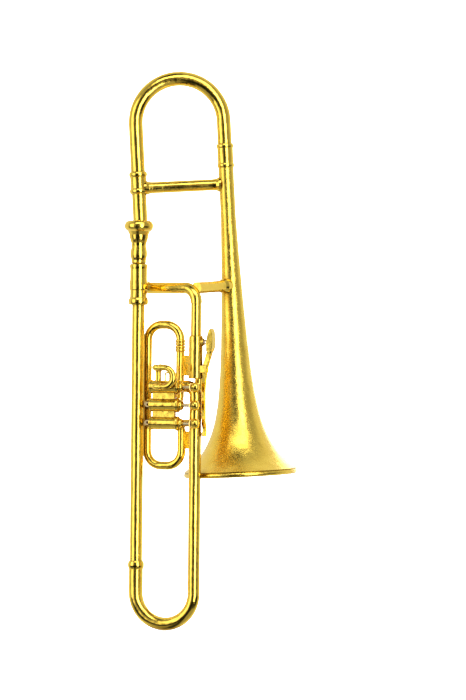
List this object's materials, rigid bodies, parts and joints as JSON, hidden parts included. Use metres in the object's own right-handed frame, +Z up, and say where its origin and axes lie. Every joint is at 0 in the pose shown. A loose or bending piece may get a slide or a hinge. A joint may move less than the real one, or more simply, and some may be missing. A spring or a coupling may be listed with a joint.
{
  "type": "valve trombone",
  "caption": "Upright valve trombone with leaning bell, tuning crook, horizontal piston valves, looped valve slides, mouthpiece and water key.",
  "frame": {"origin": "centre of the bell mouth, in the plane of its rim", "axes": "+Z up along the long tubes, bell down; +X from the mouthpiece tube towards the bell; +Y to the rear, away from the finger buttons' front side"},
  "size_m": [0.3113, 0.2271, 1.0054],
  "materials": {
    "bell_gold": "satin gold plate",
    "tube_gold": "polished gold plate",
    "button_gold": "polished gold plate",
    "piston_metal": "lapped nickel alloy",
    "spring_steel": "drawn wire",
    "cork": "pressed cork"
  },
  "bodies": {
    "frame": {"bell_rim": "bell_gold", "bell": "bell_gold", "bell_ferrule": "tube_gold", "neck_ferrule": "tube_gold", "neck": "tube_gold", "gooseneck": "tube_gold", "upper_brace": "tube_gold", "lower_brace": "tube_gold", "receiver": "tube_gold", "leadpipe": "tube_gold", "bow_sleeve": "tube_gold", "bottom_bow": "tube_gold", "receiver_stay": "tube_gold", "riser": "tube_gold", "intake_crook": "tube_gold", "outlet_tube": "tube_gold", "transfer_tube": "tube_gold", "outlet_sleeve": "tube_gold", "upper_tube_left": "tube_gold", "upper_tube_right": "tube_gold", "lower_tube_left": "tube_gold", "lower_tube_right": "tube_gold", "loop_stay": "tube_gold", "sleeve_stay": "tube_gold", "riser_stay": "tube_gold", "curl_tube_low": "tube_gold", "curl_tube_high": "tube_gold", "casing_1": "tube_gold", "bottom_cap_1": "tube_gold", "top_cap_1": "tube_gold", "spring_1": "spring_steel", "casing_2": "tube_gold", "bottom_cap_2": "tube_gold", "top_cap_2": "tube_gold", "spring_2": "spring_steel", "casing_3": "tube_gold", "bottom_cap_3": "tube_gold", "top_cap_3": "tube_gold", "spring_3": "spring_steel", "casing_web_1": "tube_gold", "casing_web_2": "tube_gold", "key_saddle": "tube_gold", "key_spring_seat": "tube_gold", "key_spring": "spring_steel", "key_nipple": "tube_gold"},
    "tuning_crook_body": {"tuning_slide": "tube_gold"},
    "mouthpiece_body": {"mouthpiece": "tube_gold"},
    "valve_1": {"piston_1": "piston_metal", "button_1": "button_gold"},
    "valve_2": {"piston_2": "piston_metal", "button_2": "button_gold"},
    "valve_3": {"piston_3": "piston_metal", "button_3": "button_gold"},
    "slide_1": {"curl_slide": "tube_gold", "pull_ring": "tube_gold"},
    "slide_2": {"upper_slide": "tube_gold"},
    "slide_3": {"lower_slide": "tube_gold"},
    "water_key": {"key_lever": "tube_gold", "key_cork": "cork"}
  },
  "joints": [
    {"name": "tuning_slide_pull", "type": "slide", "parent": "frame", "child": "tuning_crook_body", "axis": [-0.048, 0, 0.9988], "range_m": [0, 0.06]},
    {"name": "mouthpiece_pull", "type": "slide", "parent": "frame", "child": "mouthpiece_body", "axis": [0.0097, -0.0036, 0.9999], "range_m": [0, 0.045]},
    {"name": "valve_1_press", "type": "slide", "parent": "frame", "child": "valve_1", "axis": [-0.9381, 0.3461, 0.0103], "range_m": [0, 0.013], "stiffness_N_per_m": 180, "springref_m": -0.006, "deforming": ["spring_1"]},
    {"name": "valve_2_press", "type": "slide", "parent": "frame", "child": "valve_2", "axis": [-0.9381, 0.3461, 0.0103], "range_m": [0, 0.013], "stiffness_N_per_m": 180, "springref_m": -0.006, "deforming": ["spring_2"]},
    {"name": "valve_3_press", "type": "slide", "parent": "frame", "child": "valve_3", "axis": [-0.9381, 0.3461, 0.0103], "range_m": [0, 0.013], "stiffness_N_per_m": 180, "springref_m": -0.006, "deforming": ["spring_3"]},
    {"name": "slide_1_pull", "type": "slide", "parent": "frame", "child": "slide_1", "axis": [0.9381, -0.3461, -0.0103], "range_m": [0, 0.006]},
    {"name": "slide_2_pull", "type": "slide", "parent": "frame", "child": "slide_2", "axis": [0.0097, -0.0036, 0.9999], "range_m": [0, 0.03]},
    {"name": "slide_3_pull", "type": "slide", "parent": "frame", "child": "slide_3", "axis": [-0.0097, 0.0036, -0.9999], "range_m": [0, 0.026]},
    {"name": "water_key_press", "type": "hinge", "parent": "frame", "child": "water_key", "pos_m": [-0.06378, -0.09135, 0.19296], "axis": [-0.3461, -0.9382, 0], "range_deg": [0, 4.5], "stiffness_Nm_per_rad": 0.6, "springref_deg": -8.59, "deforming": ["key_spring"]}
  ]
}
